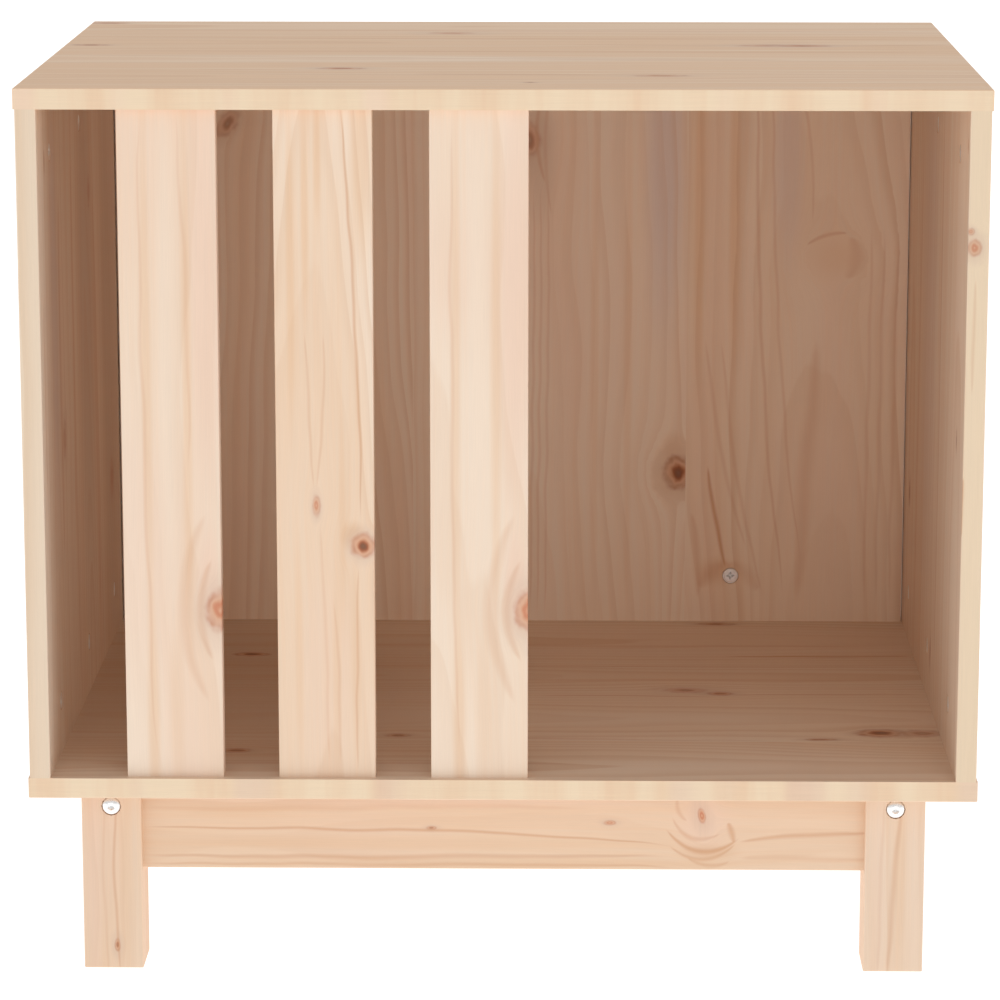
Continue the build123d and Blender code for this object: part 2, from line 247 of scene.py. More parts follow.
PANELS = (
    Board("back_panel", "XZY",
          (Stave((-150, 40), ring=7, warmth=0.34, rose=0.4, slope=0.03),
           Stave((20, 26), ring=8.5, begins=-72, warmth=0.22, rose=0.5, slope=0.012, figure=0.8),
           Stave((232, 22), ring=8.5, begins=126.6, warmth=0.36, rose=0.4, slope=0.035, lean=-0.03,
                 figure=1.1)),
          (Knot(13, 487, 7, stretch=1.7, dark=0.42, eye=0.35, red=0.7, pull=2.0, reach=3.2),
           Knot(121, 244, 9.5, stretch=1.15, reach=2.5, dark=0.95, eye=0.72, red=0.35, pull=1.9),
           Knot(233, 402, 18, stretch=0.95, reach=1.3, dark=0.0, pull=1.1),
           Knot(-203.9, 498, 7, stretch=1.3, lean=0.5, dark=0.4)),
          (*even_lines((14, 19, 24.5), 130, 460, 1.7, 0.22, 2.5),
           Streak((22, 520), (25, 455), 2.4, 0.32, 5), Streak((31, 540), (30, 430), 2.0, 0.20, 6),
           Streak((143.0, 250.0), (156.8, 172.0), 2.6, 0.62, 1.5),
           Streak((208.0, 145.5), (222.0, 345.0), 8.0, 0.24, -1),
           Streak((177, 565), (199, 145), 2.0, 0.28, 8),
           Streak((187, 565), (211, 170), 1.8, 0.22, 7), Streak((140, 345), (172, 185), 2.4, 0.20, 4),
           Streak((151, 345), (184, 150), 2.2, 0.20, 4), Streak((212, 411), (242, 420), 2.2, 0.36, -3.0),
           Streak((244, 418), (241, 386), 8.0, 0.24, -6), Streak((200, 560), (217, 425), 1.8, 0.22, -4),
           Streak((137, 158), (160, 177), 8.0, 0.24, -3), Streak((158, 177), (181, 156), 8.0, 0.20, -3),
           Streak((130, 215), (137, 150), 4.0, 0.22, -2),
           *even_lines((257, 266, 276), 140, 430, 2.2, 0.18, 2)),
          (Cloud((110, 470), (18, 150), "lilac", 0.8), Cloud((75, 380), (26, 220), "cream", 0.4),
           Cloud((198, 470), (14, 90), "lilac", 0.5), Cloud((135, 440), (4.5, 170), "amber", 0.9),
           Cloud((160, 440), (5, 150), "amber", 0.85), Cloud((150, 170), (18, 12), "late", 0.30),
           Cloud((232, 300), (16, 160), "rose", 0.3), Cloud((118, 262), (10, 14), "late", 0.30),
           # The brown cloud at (20, 480) on this line is painted shade, a narrow patch high on the back panel
           # near its middle.
           Cloud((233, 402), (17, 16), "amber", 0.35), Cloud((20, 480), (14, 60), "painted_shade_brown", 0.35),
           *even_bands((60, 84), 330, (4, 230), "amber", 0.45)),
          shade=1.13, seed=8.4),
    Board("left_side_panel", "YZX",
          (Stave((-150, 30), ring=6, warmth=0.22, slope=0.02),
           Stave((20, 50), ring=7, begins=-62, warmth=0.36, slope=0.03),
           Stave((120, 24), ring=5.5, begins=88, warmth=0.30, slope=0.02)),
          (Knot(-120, 330, 9, stretch=1.3, dark=0.18, eye=0.0),
           Knot(-196, 520, 2.2, stretch=3.0, dark=0.35, eye=0.2),
           Knot(40, 470, 7, stretch=1.5, dark=0.20, eye=0.0),
           Knot(150, 250, 11, stretch=1.2, dark=0.20, eye=0.0, red=0.8)),
          (Streak((-214, 440), (-213, 300), 2.2, 0.50), Streak((-128, 500), (-133, 250), 7.0, 0.34, 3),
           Streak((-60, 520), (-56, 140), 9.0, 0.24, 4), Streak((60, 480), (64, 160), 12.0, 0.24, -4)),
          (Cloud((-225, 350), (20, 300), "cream", 0.8), Cloud((-150, 420), (26, 160), "lilac", 0.6),
           # Both clouds on this line are painted shade, over the middle and the rear of the left wall.
           Cloud((20, 400), (60, 240), "painted_shade_brown", 0.45), Cloud((150, 350), (60, 260), "painted_shade_brown", 0.40)),
          shade=0.96, tilt=-1.2, straw_edge=0.45, seed=12.2),
    Board("right_side_panel", "YZX",
          (Stave((-180, 40), ring=6.5, warmth=0.30, slope=0.025),
           Stave((-20, 26), ring=5.5, begins=-96, warmth=0.26, slope=0.02),
           Stave((160, 34), ring=7, begins=54, warmth=0.36, slope=0.03)),
          (Knot(-222, 473, 4.6, stretch=1.0, dark=0.62, eye=0.0, red=1.0, reach=3.2, pull=2.0),
           Knot(-219, 483, 2.6, stretch=0.8, dark=0.45, eye=0.0, red=1.0, reach=2.6, pull=1.8),
           Knot(-16.7, 168, 3, stretch=3.0, dark=0.6, eye=0.5),
           Knot(-171, 343, 2.5, stretch=2.6, dark=0.5, eye=0.3),
           Knot(-205, 534, 2.0, stretch=2.2, dark=0.4, eye=0.2),
           Knot(174, 239, 5, stretch=1.8, dark=0.4, eye=0.3)),
          (Streak((-217, 330), (-216, 290), 2.4, 0.50), Streak((-224, 455), (-222, 380), 2.0, 0.22),
           Streak((-40, 540), (-44, 160), 8.0, 0.22, 3), Streak((110, 520), (114, 160), 9.0, 0.20, -3)),
          (Cloud((30, 400), (70, 240), "lilac", 0.35),),
          shade=0.97, tilt=-1.2, straw_edge=0.9, seed=15.7),
    Board("top_panel", "YXZ",
          (Stave((-150, 30), ring=7, warmth=0.92, rose=0.0, slope=0.02, figure=1.0),
           Stave((-40, 42), ring=8, begins=-84, warmth=0.80, rose=0.0, slope=0.03, figure=1.0),
           Stave((70, 26), ring=6.5, begins=22, warmth=0.95, rose=0.0, slope=0.02, figure=1.1),
           Stave((190, 36), ring=7.5, begins=118, warmth=0.78, rose=0.0, slope=0.02, figure=1.0)),
          (Knot(-103.4, -104.9, 5.5, stretch=2.4, dark=0.62, eye=0.35, red=0.8, reach=3.0),
           Knot(51, 178, 7, stretch=3.0, dark=0.50, eye=0.2, red=0.8, reach=2.8),
           Knot(50, 200, 6, stretch=2.6, dark=0.62, eye=0.3, red=0.8, reach=2.8),
           Knot(137, -41, 7, stretch=2.2, dark=0.28, eye=0.1, red=0.8, reach=3.0),
           Knot(209.7, -286.7, 6, stretch=2.2, dark=0.45, eye=0.2, red=0.8),
           Knot(48.8, -282.2, 4, stretch=2.8, dark=0.80, eye=0.4, red=0.7),
           Knot(-144.8, 98.6, 6, stretch=2.6, dark=0.35, eye=0.1, red=0.6, reach=3.0),
           Knot(-186.2, 16.7, 2.5, stretch=1.6, dark=0.45, eye=0.3)),
          (Streak((-136.5, -60), (-141, 62), 2.6, 0.55, 1), Streak((55, 40), (52, 165), 3.0, 0.35),
           Streak((50, 210), (58, 300), 3.4, 0.42), Streak((-110, -200), (-112, -130), 2.0, 0.30),
           Streak((100, -300), (96, 300), 4.0, 0.28), Streak((10, -300), (5, 300), 4.0, 0.28),
           Streak((-20, -310), (-60, 310), 3.0, 0.26), Streak((160, -310), (150, 310), 5.0, 0.28)),
          bands=1.0, blocks=True, shade=1.05, seed=21.0),
    Board("floor_panel", "YXZ",
          (Stave((-190, 28), ring=6.5, warmth=0.40, slope=0.02),
           Stave((-70, 44), ring=8, begins=-129, warmth=0.22, slope=0.03),
           Stave((40, 26), ring=6, begins=-31, warmth=0.30, slope=0.02),
           Stave((150, 36), ring=7, begins=92, warmth=0.30, slope=0.02)),
          (Knot(5.6, 122.0, 7, stretch=2.0, dark=0.35, eye=0.30, red=1.0, reach=2.8),
           Knot(-3.1, 145.5, 4.5, stretch=1.8, dark=0.55, eye=0.3, red=0.9, reach=2.8),
           Knot(-105.5, 247.2, 9.0, stretch=1.6, dark=0.80, eye=0.62, red=0.6, reach=2.2),
           Knot(-105.7, 274.5, 8, stretch=1.7, dark=0.40, eye=0.2, red=0.6, reach=2.0),
           Knot(-122.7, 206.3, 2.5, stretch=4.0, dark=0.6, eye=0.2),
           Knot(103.9, -183.3, 5, stretch=2.4, dark=0.75, eye=0.7),
           Knot(-155.7, -173.8, 5, stretch=2.0, dark=0.6, eye=0.4),
           Knot(-116.4, -70.3, 4, stretch=2.0, dark=0.5, eye=0.3),
           Knot(201, 149.6, 4, stretch=3.2, dark=0.5, eye=0.3)),
          (Streak((104, 290), (102, 150), 3.0, 0.60), Streak((-8, 146), (-4, 286), 2.2, 0.40, 2),
           Streak((-10, 20), (-14, 145), 2.4, 0.34, 2), Streak((-122, -60), (-127, 180), 2.4, 0.26),
           Streak((70, -280), (74, 280), 3.0, 0.24), Streak((30, -280), (36, 280), 3.0, 0.20),
           Streak((-190, -280), (-186, 60), 3.0, 0.30, 2), Streak((130, -280), (134, 280), 5.0, 0.20)),
          # Both clouds on this line are painted shade: the floor's left part behind the slats is darker, and
          # more faintly its rear half.
          (Cloud((20, -190), (260, 190), "painted_shade_brown", 0.50), Cloud((90, 60), (110, 400), "painted_shade_brown", 0.18)),
          blocks=True, shade=0.93, seed=27.5),
)

LEG_FRAME = (
    Board("front_left_leg", "XZY",
          (Stave((-330, 60), ring=7, warmth=0.52, rose=0.4, slope=0.02, figure=0.5),),
          (Knot(-248, 15.5, 1.8, stretch=2.2, reach=3.5, dark=0.6, eye=0.4, pull=1.6, red=0.8),),
          (Streak((-248.5, 118), (-247.5, -6), 1.6, 0.34, 0.5), Streak((-256, 118), (-255, -10), 1.6, 0.14),),
          (Cloud((-241, 60), (5, 110), "amber", 0.5), Cloud((-262, 60), (5, 110), "rose", 0.5)),
          shade=1.00, seed=31.1),
    Board("front_right_leg", "XZY", (Stave((330, 60), ring=9, warmth=0.40, slope=0.02, figure=0.5),),
          streaks=(Streak((255, 115), (247, -5), 3.0, 0.28, 0.6), Streak((243, 118), (241, -5), 2.0, 0.14)),
          clouds=(Cloud((240, 40), (6, 90), "rose", 0.3), Cloud((254, 60), (5, 90), "amber", 0.5)),
          shade=1.00, seed=33.8),
    Board("rear_left_leg", "XZY", (Stave((-320, 45), ring=7, warmth=0.42, slope=0.03),),
          shade=0.96, seed=35.2),
    Board("rear_right_leg", "XZY", (Stave((320, 40), ring=8, warmth=0.36, slope=0.04),),
          shade=0.96, seed=37.6),
    Board("front_rail", "ZXY", (Stave((84, 24), ring=9, warmth=0.42, rose=0.6, slope=0.02, figure=0.6),),
          (Knot(101.0, 127.4, 4.2, stretch=0.55, lean=-0.5, reach=4.6, dark=0.70, eye=0.0, red=1.0, pull=3.2),
           Knot(92.3, -46, 1.2, stretch=2.6, reach=3.0, dark=0.45, eye=0.3, red=0.8),
           Knot(96.2, 68.3, 1.5, stretch=2.4, reach=3.0, dark=0.45, eye=0.0, red=1.0)),
          (Streak((91.5, -240), (81, 114), 1.6, 0.42, 4.5), Streak((74, -240), (74, 112), 2.4, 0.32, -1),
           Streak((68.5, -240), (67, 124), 1.8, 0.26), Streak((93, 104), (87, 152), 2.6, 0.46, -12),
           Streak((101, 108), (90, 140), 2.4, 0.28, -9), Streak((114, 112), (98, 118), 2.2, 0.26, -3),
           Streak((82, 106), (84, 150), 2.2, 0.34, -10), Streak((74, 118), (72, 146), 2.0, 0.26, -4),
           Streak((84, 150), (90, 240), 2.4, 0.38, 1.5),
           Streak((97, 144), (84, 148), 3.0, 0.42, 0.5), Streak((115, -240), (117, 80), 2.6, 0.20, 1),
           Streak((104, -240), (106, 60), 3.0, 0.14, 1), Streak((74, 150), (72, 240), 3.0, 0.18)),
          (Cloud((112, -60), (8, 220), "rose", 0.6), Cloud((82, -60), (6, 240), "amber", 0.6),
           Cloud((69, 0), (4, 260), "amber", 0.6), Cloud((96, 128), (24, 22), "rose", 0.7),
           Cloud((77, 132), (6, 22), "late", 0.25)),
          shade=1.01, seed=41.3),
    Board("rear_rail", "ZXY", (Stave((100, 30), ring=8, warmth=0.55, slope=0.02),),
          (Knot(88, -120, 6, stretch=1.3, dark=0.6, eye=0.4),), seed=43.9),
    Board("left_rail", "ZYX", (Stave((86, 34), ring=7, warmth=0.50, slope=0.02),),
          (Knot(94, 60, 4, stretch=1.5, dark=0.6, eye=0.4),), seed=46.0),
    Board("right_rail", "ZYX", (Stave((104, 30), ring=7.5, warmth=0.45, slope=0.03),), seed=48.5),
)


# Values that a node tree works out at each point


class Value:
    """A number at each point of a surface: sums, products and powers of values add Math nodes."""

    def __init__(self, tree, socket):
        self.tree = tree
        self.socket = socket

    def math(self, operation, *others):
        node = self.tree.nodes.new("ShaderNodeMath")
        node.operation = operation
        for entry, value in zip(node.inputs, (self, *others)):
            feed(self.tree, entry, value)
        return Value(self.tree, node.outputs[0])

    def __add__(self, other):
        return self.math("ADD", other)

    def __sub__(self, other):
        return self.math("SUBTRACT", other)

    def __rsub__(self, other):
        return self.math("MULTIPLY", -1.0).math("ADD", other)

    def __mul__(self, other):
        return self.math("MULTIPLY", other)

    def __truediv__(self, other):
        return self.math("DIVIDE", other)

    def size(self):
        return self.math("ABSOLUTE")

    def root(self):
        return self.math("SQRT")

    def floor(self):
        return self.math("FLOOR")

    def at_least(self, other):
        return self.math("MAXIMUM", other)

    def at_most(self, other):
        return self.math("MINIMUM", other)

    def held(self):
        """Held between 0 and 1."""
        return self.at_least(0.0).at_most(1.0)

    def beyond(self, edge):
        """1 past the edge and 0 before it."""
        return self.math("GREATER_THAN", edge)

    def rise(self, low, high):
        """A soft step from 0 at low to 1 at high."""
        node = self.tree.nodes.new("ShaderNodeMapRange")
        node.interpolation_type = "SMOOTHSTEP"
        feed(self.tree, node.inputs["Value"], self)
        feed(self.tree, node.inputs["From Min"], low)
        feed(self.tree, node.inputs["From Max"], high)
        return Value(self.tree, node.outputs["Result"])

    def fall(self, low, high):
        """A soft step from 1 at low to 0 at high."""
        return 1.0 - self.rise(low, high)


def feed(tree, entry, value):
    """Gives an input socket a value of the tree, or a constant."""
    if isinstance(value, Value):
        tree.links.new(value.socket, entry)
    elif isinstance(value, bpy.types.NodeSocket):
        tree.links.new(value, entry)
    else:
        entry.default_value = value


def distance(first, second):
    return (first * first + second * second).root()


def combine(tree, x, y, z):
    node = tree.nodes.new("ShaderNodeCombineXYZ")
    for entry, value in zip(node.inputs, (x, y, z)):
        feed(tree, entry, value)
    return node.outputs["Vector"]


def noise(tree, x, y, z, detail=1.0):
    """Smooth noise from 0 to 1 with features one unit wide."""
    node = tree.nodes.new("ShaderNodeTexNoise")
    feed(tree, node.inputs["Vector"], combine(tree, x, y, z))
    node.inputs["Scale"].default_value = 1.0
    node.inputs["Detail"].default_value = detail
    return Value(tree, node.outputs["Fac"])


def even_noise(tree, place, size, detail):
    """Noise with features of one size in every direction."""
    return noise(tree, place["X"] / size, place["Y"] / size, place["Z"] / size, detail)


def dice(tree, whole, seed):
    """A number from 0 to 1 that is different for each whole number."""
    node = tree.nodes.new("ShaderNodeTexWhiteNoise")
    node.noise_dimensions = "2D"
    feed(tree, node.inputs["Vector"], combine(tree, whole, seed, 0.0))
    return Value(tree, node.outputs["Value"])


def paint(tree, share, below, above):
    """One colour laid over another by a share from 0 to 1."""
    node = tree.nodes.new("ShaderNodeMix")
    node.data_type = "RGBA"
    feed(tree, node.inputs["Factor"], share)
    colours = [entry for entry in node.inputs if entry.type == "RGBA"]
    feed(tree, colours[0], below)
    feed(tree, colours[1], above)
    return [leave for leave in node.outputs if leave.type == "RGBA"][0]


def dim(tree, colour, share):
    """A colour made lighter or darker by a factor."""
    node = tree.nodes.new("ShaderNodeVectorMath")
    node.operation = "SCALE"
    feed(tree, node.inputs[0], colour[:3] if isinstance(colour, tuple) else colour)
    feed(tree, node.inputs["Scale"], share)
    return node.outputs["Vector"]


def rgba(colour, share=1.0):
    return (colour[0] * share, colour[1] * share, colour[2] * share, 1.0)


def new_group(name, entries, exits):
    """A shader group with number sockets: its tree, its inputs as values and its output node."""
    tree = bpy.data.node_groups.new(name, "ShaderNodeTree")
    for label, default in entries.items():
        socket = tree.interface.new_socket(label, in_out="INPUT", socket_type="NodeSocketFloat")
        socket.default_value = default
    for label in exits:
        tree.interface.new_socket(label, in_out="OUTPUT", socket_type="NodeSocketFloat")
    source = tree.nodes.new("NodeGroupInput")
    sink = tree.nodes.new("NodeGroupOutput")
    values = {label: Value(tree, source.outputs[label]) for label in entries}
    return tree, values, sink


def hand_over(tree, sink, results):
    """Gives a group's output sockets what it has worked out, by name."""
    for label, value in results.items():
        feed(tree, sink.inputs[label], value)


def use_group(tree, group, values):
    """A group in a tree: gives it its values and returns what it works out, by name."""
    node = tree.nodes.new("ShaderNodeGroup")
    node.node_tree = group
    for label, value in values.items():
        feed(tree, node.inputs[label], value)
    return {leave.name: Value(tree, leave) for leave in node.outputs}


def year_ring_group():
    """Year rings round a log's heart, with the bands and fibres that run along them."""
    tree, entry, sink = new_group(
        "Year rings",
        {"Across": 0.0, "Along": 0.0, "Through": 0.0, "Heart across": 0.0, "Heart through": 30.0,
         "Ring": 5.0, "Slope": 0.02, "Lean": 0.0, "Seed": 0.0},
        ("Late", "Band", "Blush", "Streak", "Fibre"))
    across, along, through = entry["Across"], entry["Along"], entry["Through"]
    ring, seed = entry["Ring"], entry["Seed"]

    def grain(wide, long, number, detail=1.0):
        """Noise with features so many millimetres wide and long."""
        return noise(tree, across / wide, along / long, number, detail)

    drift = grain(95.0, 420.0, seed) - 0.5
    ripple = grain(26.0, 120.0, seed + 5.3) - 0.5
    from_heart = distance(
        across - entry["Heart across"] - entry["Lean"] * along,
        through - entry["Heart through"] - entry["Slope"] * along)
    radius = from_heart + drift * ring * 4.0 + ripple * ring * 0.9
    years = radius / ring
    uneven = noise(tree, years / 3.1, seed, 0.0, detail=0.0) * 1.7
    count = years + uneven
    year = count.floor()
    season = count - year
    strength = dice(tree, year, seed) * 0.8 + 0.2
    hand_over(tree, sink, {
        "Late": season.rise(0.30, 0.90) * season.fall(0.93, 1.0) * strength,
        "Band": noise(tree, years / 2.6, along / 900.0, seed + 11.0),
        "Blush": noise(tree, years / 4.0, along / 260.0, seed + 17.0),
        "Streak": grain(2.4, 150.0, through / 2.4 + seed, detail=2.0),
        "Fibre": grain(0.55, 26.0, through / 0.55 + seed)})


def knot_group():
    """A knot: how it draws the grain aside, its body, its dark rim and eye, and the stained wood round it."""
    tree, entry, sink = new_group(
        "Knot",
        {"Across": 0.0, "Along": 0.0, "At across": 0.0, "At along": 0.0, "Radius": 5.0, "Stretch": 1.3,
         "Lean": 0.0, "Reach": 2.4, "Pull": 1.3, "Waver": 0.0},
        ("Pull aside", "Body", "Rim", "Eye", "Stain", "Rings"))
    rise = entry["Along"] - entry["At along"]
    aside = entry["Across"] - entry["At across"] - rise * entry["Lean"]
    away = distance(aside, rise / entry["Stretch"]) / entry["Radius"] + entry["Waver"]
    pull = entry["Pull"] * entry["Pull"]
    side = (noise(tree, entry["Across"] / 7.0, entry["Along"] / 7.0, entry["Radius"]) - 0.5) * 1.6 + 0.5
    hand_over(tree, sink, {
        "Pull aside": aside * pull / (away * away).at_least(pull),
        "Body": away.fall(0.55, 1.15),
        "Rim": away.rise(0.62, 0.95) * away.fall(0.95, 1.40) * side.held(),
        "Eye": away.fall(0.10, 0.66),
        "Stain": away.fall(0.7, entry["Reach"]),
        "Rings": (away * 8.4 - 4.4).math("SINE") * 0.5 + 0.5})


def streak_group():
    """A thin line between two places, bowed sideways and tapering to its ends."""
    tree, entry, sink = new_group(
        "Resin streak",
        {"Across": 0.0, "Along": 0.0, "From across": 0.0, "From along": 0.0, "Run across": 0.0,
         "Run along": 1.0, "Width": 1.0, "Bow": 0.0},
        ("Mark",))
    aside = entry["Across"] - entry["From across"]
    rise = entry["Along"] - entry["From along"]
    run_across, run_along = entry["Run across"], entry["Run along"]
    length = distance(run_across, run_along)
    place = (aside * run_across + rise * run_along) / (length * length)
    share = place.held()
    swell = share * (1.0 - share) * 4.0
    off = (aside * run_along - rise * run_across) / length - swell * entry["Bow"]
    away = distance(off, (place - share) * length)
    half = entry["Width"] * swell.root().at_least(0.02)
    hand_over(tree, sink, {"Mark": (away / half).fall(0.0, 1.15) * swell.rise(0.0, 0.35)})


def cloud_group():
    """A soft oval patch, longer along the grain."""
    tree, entry, sink = new_group(
        "Soft cloud",
        {"Across": 0.0, "Along": 0.0, "At across": 0.0, "At along": 0.0, "Half width": 10.0,
         "Half length": 50.0},
        ("Mark",))
    away = distance(
        (entry["Across"] - entry["At across"]) / entry["Half width"],
        (entry["Along"] - entry["At along"]) / entry["Half length"])
    hand_over(tree, sink, {"Mark": away.fall(0.25, 1.15)})


def stepped(place, staves, reading):
    """A number that changes at each glue line, from one stave's own to the next one's."""
    total = reading(staves[0])
    for before, stave in zip(staves, staves[1:]):
        total = place.beyond(stave.begins) * (reading(stave) - reading(before)) + total
    return total


def bare_material(name):
    """A new material: its tree and its surface shader."""
    material = bpy.data.materials.new(name)
    material.use_nodes = True
    tree = material.node_tree
    shader = next(node for node in tree.nodes if node.type == "BSDF_PRINCIPLED")
    return material, tree, shader


def by_axis(tree, vector):
    """The three numbers of a vector, by axis."""
    split = tree.nodes.new("ShaderNodeSeparateXYZ")
    feed(tree, split.inputs["Vector"], vector)
    return {axis: Value(tree, split.outputs[axis]) for axis in "XYZ"}


def object_place(tree):
    """Object coordinates in millimetres, by axis."""
    source = tree.nodes.new("ShaderNodeTexCoord")
    return {axis: value * PER_METRE for axis, value in by_axis(tree, source.outputs["Object"]).items()}


def facing(tree):
    """How squarely the surface faces along each axis, from 0 to 1."""
    source = tree.nodes.new("ShaderNodeNewGeometry")
    return {axis: value.size() for axis, value in by_axis(tree, source.outputs["True Normal"]).items()}


def raise_grain(tree, shader, height, reach, strength=1.0):
    """Lifts the surface by a share, from 0 to 1, of a reach in metres."""
    bump = tree.nodes.new("ShaderNodeBump")
    bump.inputs["Strength"].default_value = strength
    bump.inputs["Distance"].default_value = reach
    feed(tree, bump.inputs["Height"], height)
    feed(tree, shader.inputs["Normal"], bump.outputs["Normal"])


def mark_knots(tree, board, groups, across, along):
    """Every knot of a board: the grain's shift aside, and the values that colour each one."""
    waver = (noise(tree, across / 5.0, along / 8.0, board.seed, detail=1.0) - 0.5) * 0.5
    edges = [stave.begins for stave in board.staves] + [FAR]
    shift = 0.0
    marks = []
    for knot in board.knots:
        found = use_group(tree, groups["knot"], {
            "Across": across, "Along": along, "At across": knot.across, "At along": knot.along,
            "Radius": knot.radius, "Stretch": knot.stretch, "Lean": knot.lean, "Reach": knot.reach,
            "Pull": knot.pull, "Waver": waver})
        for edge in edges:
            if abs(edge - knot.across) < knot.radius * knot.reach:
                side = across.beyond(edge)
                side = side if knot.across > edge else 1.0 - side
                found = {label: value * side for label, value in found.items()}
        shift = found["Pull aside"] + shift
        marks.append((knot, found))
    return shift, marks


def lay_clouds(tree, board, groups, across, along, colour, look):
    """The board's soft patches of tone; those in the dull brown shade tone are painted shade."""
    for cloud in board.clouds:
        mark = use_group(tree, groups["cloud"], {
            "Across": across, "Along": along, "At across": cloud.middle[0], "At along": cloud.middle[1],
            "Half width": cloud.reach[0], "Half length": cloud.reach[1]})["Mark"]
        colour = paint(tree, mark * cloud.strength, colour, rgba(getattr(look, cloud.tone)))
    return colour


def lay_knot(tree, knot, found, colour, look):
    """One knot: the stained wood round it, its flesh with its rings, its rim and its eye."""
    if knot.dark == 0:
        return colour
    stain = paint(tree, knot.red, rgba(look.amber, 0.85), rgba(look.rose, 0.82))
    colour = paint(tree, found["Stain"] * (0.25 + 0.45 * knot.dark), colour, stain)
    flesh = paint(tree, knot.red, rgba(look.knot), rgba(look.ember))
    body = paint(tree, found["Rings"] * 0.55, flesh, rgba(look.amber, 0.95))
    colour = paint(tree, found["Body"] * min(1.0, 0.30 + 0.75 * knot.dark), colour, body)
    rim = paint(tree, knot.red, rgba(look.knot, 0.8), rgba(look.ember, 0.85))
    colour = paint(tree, found["Rim"] * min(1.0, 0.95 * knot.dark), colour, rim)
    if knot.eye > 0:
        colour = paint(tree, found["Eye"] * knot.eye, colour, rgba(look.bark))
    return colour


def lay_streaks(tree, board, groups, across, along, colour, look):
    """The board's thin lines, which wander a little from side to side."""
    wander = (noise(tree, along / 55.0, across / 70.0, board.seed + 2.0) - 0.5) * 5.0
    for streak in board.streaks:
        mark = use_group(tree, groups["streak"], {
            "Across": across + wander, "Along": along,
            "From across": streak.start[0], "From along": streak.start[1],
            "Run across": streak.end[0] - streak.start[0], "Run along": streak.end[1] - streak.start[1],
            "Width": streak.width, "Bow": streak.bow})["Mark"]
        colour = paint(tree, mark * streak.dark, colour, rgba(look.resin))
    return colour


def edge_blocks(tree, board, edge, along, through, colour, look):
    """The long edges of a jointed board, where short blocks meet in soft upright bands."""
    wide = noise(tree, along / 24.0, board.seed, 0.0)
    narrow = noise(tree, along / 5.0, through / 60.0, board.seed + 4.0, detail=2.0)
    tone = ((wide - 0.5) * 2.0 + (narrow - 0.5) * 0.7 + 0.22).held()
    # lift undoes the board's painted light factor, so that the blocks on every board's edges come out alike.
    lift = 1.03 / board.shade
    blocks = paint(tree, tone, rgba(look.straw, lift), rgba(look.amber, lift))
    pink = noise(tree, along / 31.0, board.seed + 9.0, 0.0, detail=0.0).rise(0.55, 0.75)
    blocks = paint(tree, pink * 0.5, blocks, rgba(look.rose))
    return paint(tree, edge, colour, blocks)


def pine_material(board, groups, look):
    """Planed pine for one board: year rings, bands, fibres, knots, resin and end grain, with a painted
    highlight on the arrises, the board's painted light factor and its painted shade clouds.
    """
    material, tree, shader = bare_material("pine_" + board.node)
    place = object_place(tree)
    low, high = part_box(board.node)
    axis = "XYZ".index(board.axes[2])
    middle = (low[axis] + high[axis]) / 2 * PER_METRE
    across, along, through = (place[letter] for letter in board.axes)
    through = through - middle
    marked = through * board.tilt + across
    shift, marks = mark_knots(tree, board, groups, marked, along)
    staves = board.staves

    def of_stave(reading):
        return stepped(across, staves, reading)

    wood = use_group(tree, groups["rings"], {
        "Across": across - shift if board.knots else across, "Along": along, "Through": through,
        "Heart across": of_stave(lambda stave: stave.heart[0]),
        "Heart through": of_stave(lambda stave: stave.heart[1]),
        "Ring": of_stave(lambda stave: stave.ring), "Slope": of_stave(lambda stave: stave.slope),
        "Lean": of_stave(lambda stave: stave.lean),
        "Seed": of_stave(lambda stave: board.seed + 3.7 * staves.index(stave))})

    warmth = (wood["Band"] - 0.5) * (2.2 * board.bands) + of_stave(lambda stave: stave.warmth)
    warmth = ((wood["Streak"] - 0.5) * 0.5 + warmth).held()
    colour = paint(tree, warmth, rgba(look.cream), rgba(look.amber))
    blush = wood["Blush"].rise(0.45, 0.75) * of_stave(lambda stave: stave.rose)
    colour = paint(tree, blush, colour, rgba(look.rose))
    colour = lay_clouds(tree, board, groups, across, along, colour, look)
    late = wood["Late"] * of_stave(lambda stave: 0.34 * stave.figure * look.figure)
    colour = paint(tree, late, colour, rgba(look.late))

    face = facing(tree)
    edge, end = (face[letter].rise(0.6, 0.9) for letter in board.axes[:2])
    if board.straw_edge:
        colour = paint(tree, edge * board.straw_edge, colour, rgba(look.straw))
    if board.blocks:
        colour = edge_blocks(tree, board, edge, along, through, colour, look)
    colour = paint(tree, end * 0.45, colour, rgba(look.late, 1.15))
    for knot, found in marks:
        colour = lay_knot(tree, knot, found, colour, look)
    colour = lay_streaks(tree, board, groups, marked, along, colour, look)

    # A painted highlight: the chamfered arrises are made 6 % lighter, as where light catches them.
    arris = face["X"].at_least(face["Y"]).at_least(face["Z"]).fall(0.90, 0.97)
    # light carries the board's painted light factor (shade), with small real changes of tone from the fibres
    # and streaks.
    light = (wood["Fibre"] - 0.5) * 0.07 + (wood["Streak"] - 0.5) * 0.05 + board.shade
    feed(tree, shader.inputs["Base Color"], dim(tree, colour, light + arris * 0.06))
    feed(tree, shader.inputs["Roughness"], (wood["Fibre"] - 0.5) * 0.16 - late * 0.2 + look.roughness)
    shader.inputs["Specular IOR Level"].default_value = 0.22
    raise_grain(tree, shader, wood["Fibre"] * 0.7 + wood["Streak"] * 0.5, look.relief, strength=0.6)
    return material


